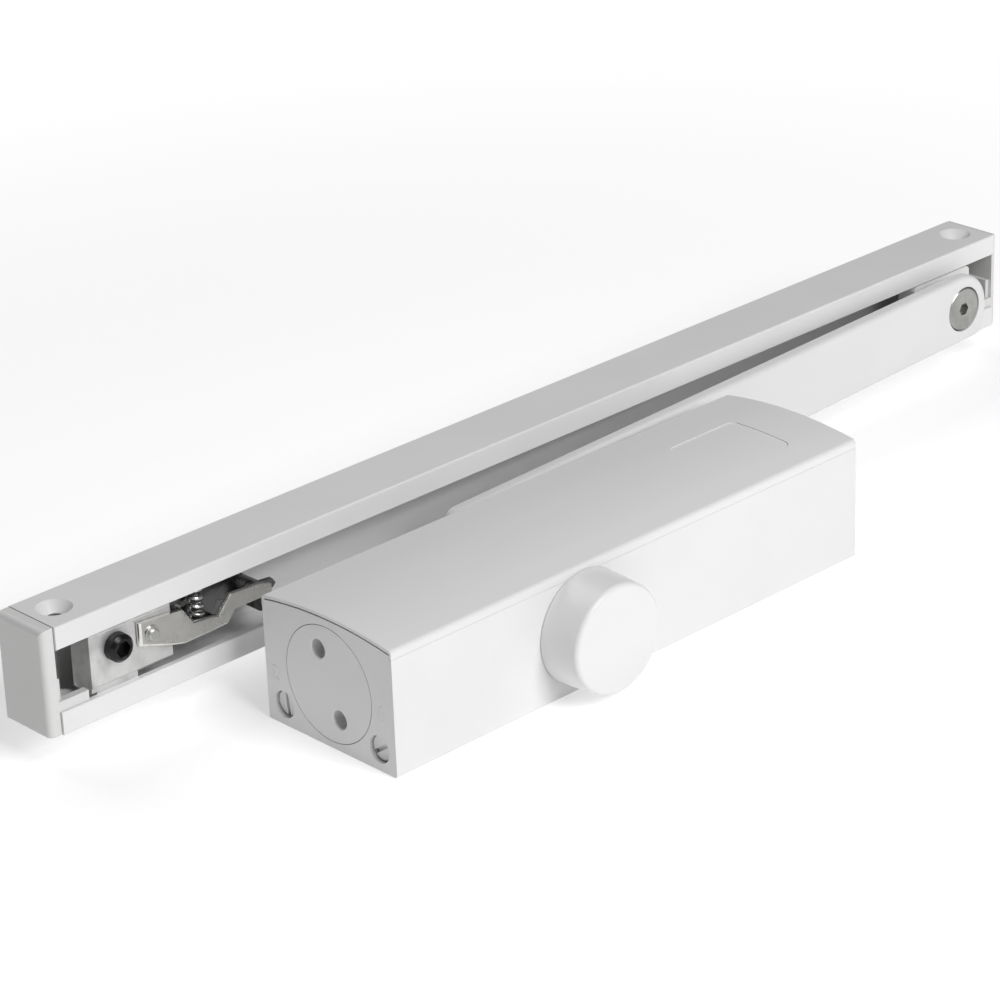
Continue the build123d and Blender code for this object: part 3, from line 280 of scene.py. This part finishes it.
def coated_steel(name, colour, roughness):
    """Blackened metal of a given roughness, rubbed smoother and paler in spots."""
    metal = Finish(name)
    grains = metal.noise(1800, 2)
    rub = metal.band(metal.noise(220, 3), 0.55, 0.75)
    shade = metal.blend(rub, colour, [v * 2.2 for v in colour])
    relief = metal.bump(grains, 0.00001)
    return metal.close(Base_Color=shade, Metallic=0.5, Roughness=roughness - rub * 0.1, Normal=relief)


steels = {
    "plated": steel("plated_steel", (0.72, 0.71, 0.69), (0.2, 1, 1), 0.42, 0.24),
    # The lever is darkened beyond Y = 57 mm: painted shade on its rear plate.
    "bright": steel("bright_steel", (0.78, 0.77, 0.74), (0.15, 1, 1), 0.30, 0.20, wear=0.10,
                    painted_shade_y=(54 * mm, 57 * mm)),
    "screw": steel("screw_steel", (0.42, 0.42, 0.405), (1, 0.2, 1), 0.42, 0.3),
    "rivet": steel("rivet_steel", (0.60, 0.60, 0.58), (1, 1, 1), 0.48, 0.40, wear=0.12),
    "ground": steel("ground_steel", (0.55, 0.55, 0.56), (1, 0.1, 1), 0.34, 0.2),
    "spring": steel("spring_wire", (0.80, 0.80, 0.79), (1, 1, 1), 0.26, 0.20, wear=0.03),
    "cast": steel("machined_iron", (0.33, 0.33, 0.34), (0.1, 1, 1), 0.5, 0.35),
    "bush": steel("bush_brass", (0.70, 0.52, 0.26), (1, 0.3, 1), 0.4, 0.25),
    "black": coated_steel("black_screw", (0.012, 0.012, 0.013), 0.26),
    # Dark steel, whose near-black colour on the leg behind the catch spring is also painted shade.
    "dark": coated_steel("dark_plate", (0.055, 0.057, 0.06), 0.5),
    "die_cast": steel("die_cast_block", (0.74, 0.74, 0.735), (1, 1, 1), 0.62, 0.5),
}
print("steels", sorted(steels))

# %% [markdown]
# Each solid piece keeps its place and gets its finish through its material slots. The list pairs every
# piece with the finish it has on the real closer, and the hidden pieces get one too.

# %% Dress the solid pieces
finishes = {
    coats["casting"]: ["closer_housing", "end_plug_near", "end_plug_far", "closing_valve_screw",
                       "latching_valve_screw"],
    coats["arm"]: ["slide_arm"],
    coats["rail"]: ["rail_profile"],
    plastics["cover"]: ["housing_cover"],
    plastics["cap"]: ["spindle_cap"],
    plastics["end_cap"]: ["rail_end_cap_left", "rail_end_cap_right"],
    plastics["slider"]: ["slide_block"],
    plastics["roller"]: ["catch_roller"],
    plastics["rubber"]: ["plug_seals", "spindle_seals", "piston_seals", "closing_valve_seal",
                         "latching_valve_seal"],
    steels["plated"]: ["gland_nut_front", "gland_nut_back", "spindle_bearing_front", "spindle_bearing_back",
                       "spring_seat", "check_ring", "roller_pin"],
    steels["rivet"]: ["lever_pin"],
    steels["bright"]: ["catch_lever"],
    steels["screw"]: ["pivot_screw"],
    steels["ground"]: ["pinion_spindle", "check_ball"],
    steels["spring"]: ["closing_spring", "catch_spring"],
    steels["cast"]: ["rack_piston"],
    steels["bush"]: ["pivot_bush"],
    steels["black"]: ["catch_clamp_screw", "arm_screw"],
    steels["dark"]: ["catch_bracket"],
    steels["die_cast"]: ["catch_block"],
}
dressed = []
for material, nodes in finishes.items():
    for node in nodes:
        for slot in frame["nodes"][node].material_slots:
            slot.material = material
        dressed.append(node)
print("dressed", len(dressed), "missing", sorted(set(frame["nodes"]) - set(dressed)))

# %% [markdown]
# The two regulating valves are told apart by a plain digit above each screw, raised a fraction of a
# millimetre in the casting. A text curve with a little depth gives the shape. It is made a mesh first,
# and then its points are turned to stand on the end face, so that its object stays at the origin.

# %% Valve digits
near_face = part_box("closer_housing")[0].x
end_turn = Matrix(((0, 0, -1), (-1, 0, 0), (0, 1, 0))).to_4x4()
digit_height = 5.2 * mm
digit_relief = 0.22 * mm
font_size_per_height = 1.4


def valve_digit(name, text, y, z):
    """Digit whose middle is at y and z on the end face, half sunk into it."""
    curve = bpy.data.curves.new(name, "FONT")
    curve.body = text
    curve.size = digit_height * font_size_per_height
    curve.extrude = digit_relief
    curve.align_x = "CENTER"
    curve.align_y = "CENTER"
    holder = bpy.data.objects.new(name + "_curve", curve)
    bpy.context.collection.objects.link(holder)
    bpy.context.view_layer.update()
    graph = bpy.context.evaluated_depsgraph_get()
    mesh = bpy.data.meshes.new_from_object(holder.evaluated_get(graph))
    bpy.data.objects.remove(holder)
    mesh.transform(Matrix.Translation((near_face, y, z)) @ end_turn)
    mesh.materials.clear()
    mesh.materials.append(coats["casting"])
    digit = bpy.data.objects.new(name, mesh)
    bpy.context.collection.objects.link(digit)
    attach(digit, "closer_body")
    return digit


digits = [
    valve_digit("valve_digit_2", "2", 26.1 * mm, 17.6 * mm),
    valve_digit("valve_digit_1", "1", -24.4 * mm, 20.5 * mm),
]
print("digits", [(digit.name, len(digit.data.vertices)) for digit in digits])

# %% [markdown]
# The gap round each end plug is filled by a black ring with a four-sided section, a little below the face,
# so that it shows as a thin dark line round the plug: painted shade, for the shade that falls into the gap.
# Its points are placed in turn round the circle, four to a station, and each is joined to the next. Its faces
# are turned outwards last.

# %% Painted shade in the gap round each end plug
plug_gap = 0.25 * mm
gap_shade_play = 0.005 * mm
gap_shade_top = 0.15 * mm
gap_shade_bottom = 0.6 * mm


def gap_shade_ring(name, plug, inward, stations=120):
    """Ring round a plug whose outer face looks away from the X direction inward."""
    low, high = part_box(plug)
    face_x = low.x if inward > 0 else high.x
    middle_z = (low.z + high.z) / 2
    inner = (high.z - low.z) / 2 + gap_shade_play
    outer = inner + plug_gap - 2 * gap_shade_play
    section = [(gap_shade_top, inner), (gap_shade_top, outer), (gap_shade_bottom, outer), (gap_shade_bottom, inner)]
    points = []
    for station in range(stations):
        angle = 2 * pi * station / stations
        for along, radius in section:
            points.append((face_x + inward * along, radius * cos(angle), middle_z + radius * sin(angle)))
    count = len(points)
    faces = [(4 * s + k, 4 * s + (k + 1) % 4, (4 * s + 4 + (k + 1) % 4) % count, (4 * s + 4 + k) % count)
             for s in range(stations) for k in range(4)]
    mesh = bpy.data.meshes.new(name)
    mesh.from_pydata(points, [], faces)
    shell = bmesh.new()
    shell.from_mesh(mesh)
    bmesh.ops.recalc_face_normals(shell, faces=shell.faces)
    shell.to_mesh(mesh)
    shell.free()
    # The black fill of the gap is painted shade.
    mesh.materials.append(plastics["rubber"])
    ring = bpy.data.objects.new(name, mesh)
    bpy.context.collection.objects.link(ring)
    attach(ring, "closer_body")
    return ring


rings = [
    gap_shade_ring("plug_paste_near", "end_plug_near", 1),
    gap_shade_ring("plug_paste_far", "end_plug_far", -1),
]
print("gap shade rings", [len(ring.data.polygons) for ring in rings])

# %% [markdown]
# A coil and a knurl follow plain rules, so Geometry Nodes draw them. This class starts a node tree with its
# sizes as inputs, adds nodes to it, and closes it. Each tree ends in Realize Instances and Set Material,
# because only real faces are exported. Run on an empty object, a tree gives a plain mesh.

# %% A rule and its result
class Rule:
    """A Geometry Nodes tree under construction."""

    def __init__(self, name, lengths, counts):
        self.tree = bpy.data.node_groups.new(name, "GeometryNodeTree")
        sockets = [("Geometry", "INPUT", "NodeSocketGeometry")]
        sockets += [(title, "INPUT", "NodeSocketFloat") for title in lengths]
        sockets += [(title, "INPUT", "NodeSocketInt") for title in counts]
        sockets += [("Geometry", "OUTPUT", "NodeSocketGeometry")]
        for title, side, kind in sockets:
            self.tree.interface.new_socket(title, in_out=side, socket_type=kind)
        self.sizes = self.add("NodeGroupInput").outputs

    def add(self, kind, inputs=None, **settings):
        """Add a node; each input is a socket of another node or a plain value."""
        node = self.tree.nodes.new(kind)
        for key, value in settings.items():
            setattr(node, key, value)
        for key, value in (inputs or {}).items():
            if isinstance(value, bpy.types.NodeSocket):
                self.tree.links.new(value, node.inputs[key])
            else:
                node.inputs[key].default_value = value
        return node

    def close(self, geometry, material):
        """Make every copy real faces, give them the material and end the tree."""
        real = self.add("GeometryNodeRealizeInstances", {"Geometry": geometry})
        inputs = {"Geometry": real.outputs["Geometry"], "Material": material}
        paint = self.add("GeometryNodeSetMaterial", inputs)
        self.add("NodeGroupOutput", {"Geometry": paint.outputs["Geometry"]})
        return self.tree


def run_tree(name, tree, sizes, place):
    """Run a tree on an empty object and return its result as a plain mesh object at the origin."""
    holder = bpy.data.objects.new(name, bpy.data.meshes.new(name))
    bpy.context.collection.objects.link(holder)
    modifier = holder.modifiers.new("rule", "NODES")
    modifier.node_group = tree
    for item in tree.interface.items_tree:
        if item.in_out == "INPUT" and item.name in sizes:
            modifier[item.identifier] = sizes[item.name]
    bpy.context.view_layer.update()
    graph = bpy.context.evaluated_depsgraph_get()
    mesh = bpy.data.meshes.new_from_object(holder.evaluated_get(graph))
    holder.modifiers.remove(modifier)
    mesh.transform(place)
    holder.data = mesh
    return holder


# %% [markdown]
# The two coil springs shorten when the closer moves, and the solids can't; these coils are made at full
# length and can't either. A spiral of a given radius, height and number of turns is swept with a round wire.

# %% A coil spring by rule
wire_sides = 16
steps_per_turn = 48


def coil_tree(material):
    """Tree for a coil along Z, from its middle line's radius to the number of its steps per turn."""
    rule = Rule("coil_spring", ("Radius", "Wire", "Height", "Turns"), ("Steps",))
    spiral = rule.add("GeometryNodeCurveSpiral", {
        "Start Radius": rule.sizes["Radius"], "End Radius": rule.sizes["Radius"],
        "Height": rule.sizes["Height"], "Rotations": rule.sizes["Turns"], "Resolution": rule.sizes["Steps"]})
    wire = rule.add("GeometryNodeCurvePrimitiveCircle", {
        "Resolution": wire_sides, "Radius": rule.sizes["Wire"]})
    sweep = rule.add("GeometryNodeCurveToMesh", {
        "Curve": spiral.outputs["Curve"], "Profile Curve": wire.outputs["Curve"], "Fill Caps": True})
    smooth = rule.add("GeometryNodeSetShadeSmooth", {"Geometry": sweep.outputs["Mesh"]})
    return rule.close(smooth.outputs["Geometry"], material)


coil_rule = coil_tree(steels["spring"])


def coil_spring(name, node, body, axis, wire, turns, shortening):
    """Coil in the box of a solid spring, made at the spring's full length.
    The wire is given by its radius; shortening, the travel of the near end at the joint's limit, is only used
    for the printed share of the length the coil would keep.
    """
    low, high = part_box(node)
    height = (high - low).dot(axis)
    radius = (high.y - low.y) / 2 - wire
    foot = (low + high) / 2 - axis * (height / 2 - wire)
    turn = Vector((0, 0, 1)).rotation_difference(axis).to_matrix().to_4x4()
    sizes = {"Radius": radius, "Wire": wire, "Height": height - 2 * wire, "Turns": float(turns),
             "Steps": steps_per_turn}
    spring = run_tree(name, coil_rule, sizes, Matrix.Translation(foot) @ turn)
    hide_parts(node)
    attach(spring, body)
    1 - shortening / height
    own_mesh(spring)
    print(name, "height mm", round(height / mm, 2), "keeps", round(1 - shortening / height, 3))


# %% Closing spring and catch spring
joints = {joint["name"]: joint for joint in frame["record"]["behaviour"]["joints"]}
piston_travel = joints["piston_slide"]["range_m"][1]
lever_turn = radians(joints["lever_swing"]["range_deg"][1])
lever_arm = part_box("catch_spring")[1].x - joints["lever_swing"]["pos_m"][0]
clearance = 0.1 * mm
coil_spring("closing_coil", "closing_spring", "closer_body", axis=Vector((1, 0, 0)), wire=2.1 * mm,
            turns=9, shortening=piston_travel + clearance)
coil_spring("catch_coil", "catch_spring", "rail", axis=Vector((0, 0, 1)), wire=0.62 * mm,
            turns=5.5, shortening=sin(lever_turn) * lever_arm + clearance)

# %% [markdown]
# A socket screw's head is knurled so that fingers can start it. The knurl is a ring of small ridges along
# the head, which is a repeat round a circle: a circle of points carries one ridge each. The tree makes it
# round Z, and it is laid along Y, the way the screw points.

# %% Knurl of the clamp screw
head_low, head_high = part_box("catch_clamp_screw")
head_radius = (head_high.x - head_low.x) / 2
knurl_start = 1.2 * mm
knurl_length = 4.0 * mm
knurl_sink = 0.05 * mm
ridge_radius = 0.14 * mm
ridge_sides = 6
ridge_count = 60


def ridge_ring_tree(material):
    """Tree for a ring of upright ridges round Z."""
    rule = Rule("ridge_ring", ("Radius", "Length", "Width"), ("Count",))
    ring = rule.add("GeometryNodeCurvePrimitiveCircle", {"Radius": rule.sizes["Radius"]})
    points = rule.add("GeometryNodeCurveToPoints", {
        "Curve": ring.outputs["Curve"], "Count": rule.sizes["Count"]}, mode="COUNT")
    ridge = rule.add("GeometryNodeMeshCylinder", {
        "Vertices": ridge_sides, "Radius": rule.sizes["Width"], "Depth": rule.sizes["Length"]},
        fill_type="NGON")
    spread = rule.add("GeometryNodeInstanceOnPoints", {
        "Points": points.outputs["Points"], "Instance": ridge.outputs["Mesh"]})
    return rule.close(spread.outputs["Instances"], material)


knurl_middle = (head_low + head_high) / 2
knurl_middle.y = head_low.y + knurl_start + knurl_length / 2
knurl_place = Matrix.Translation(knurl_middle) @ Matrix.Rotation(pi / 2, 4, "X")
knurl_sizes = {"Radius": head_radius - knurl_sink, "Length": knurl_length, "Width": ridge_radius,
               "Count": ridge_count}
knurl = run_tree("clamp_screw_knurl", ridge_ring_tree(steels["black"]), knurl_sizes, knurl_place)
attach(knurl, "rail")
print("knurl faces", len(knurl.data.polygons))

# %% [markdown]
# The closer lies on a plain pale floor. A glow in the floor's own material keeps it near white under soft
# light, the way a light table does, and shadows fall on it only faintly. The glow grows away from the
# closer, where the lamps reach less, so that the background stays as white as the foreground.

# %% Floor
half_width = 6.0
just_below = 0.2 * mm
glow_near, glow_far = 0.3, 1.4
far_glow = 2.2

floor_mesh = bpy.data.meshes.new("floor")
corners = [(-half_width, -half_width, 0), (half_width, -half_width, 0), (half_width, half_width, 0),
           (-half_width, half_width, 0)]
floor_mesh.from_pydata(corners, [], [(0, 1, 2, 3)])
floor = bpy.data.objects.new("floor", floor_mesh)
bpy.context.collection.objects.link(floor)
floor.location.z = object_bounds()[0].z - just_below
pale = Finish("pale_floor")
from_middle = pale.make("ShaderNodeVectorMath", {"operation": "LENGTH"}, {0: pale.place}, out="Value")
outwards = pale.band(from_middle, glow_near, glow_far)
glow = pale.blend(outwards, (1.0, 1.0, 1.0), (far_glow, far_glow, far_glow))
floor_mesh.materials.append(pale.close(Base_Color=(0.72, 0.72, 0.72, 1), Roughness=0.9,
                                       Emission_Color=glow, Emission_Strength=0.42))
print("floor at mm", round(floor.location.z / mm, 2))

# %% [markdown]
# A large soft box high in front makes the long front brighter than the top, and leaves the valve end the
# darkest of the three. It stands near enough for the far end of the rail to fall off a little. A second box
# behind lights the rail's top and the channel. The places and powers came from renders with one light at a
# time, weighed against the brightness of some forty places in the picture.

# %% Lights
light_target = Vector((0.0, 0.0, 0.02))
world_glow = 0.10


def soft_box(name, around, height, size, power, distance):
    """Square lamp aimed at the closer, at two angles in degrees: around from X towards Y, and height."""
    light = bpy.data.lights.new(name, "AREA")
    light.shape = "SQUARE"
    light.size = size
    light.energy = power
    lamp = bpy.data.objects.new(name, light)
    bpy.context.collection.objects.link(lamp)
    turn, rise = radians(around), radians(height)
    away = Vector((cos(rise) * cos(turn), cos(rise) * sin(turn), sin(rise)))
    lamp.location = light_target + distance * away
    lamp.rotation_euler = (-away).to_track_quat("-Z", "Y").to_euler()
    return lamp


lamps = [
    soft_box("front_box", around=-90, height=40, size=1.0, power=35, distance=2.0),
    soft_box("back_box", around=90, height=50, size=1.4, power=16, distance=2.4),
]
world = bpy.data.worlds.new("studio")
world.use_nodes = True
background = world.node_tree.nodes["Background"]
background.inputs["Color"].default_value = (1, 1, 1, 1)
background.inputs["Strength"].default_value = world_glow
bpy.context.scene.world = world
bpy.context.scene.view_settings.view_transform = "Standard"
print("lights", [(lamp.name, lamp.data.energy) for lamp in lamps])
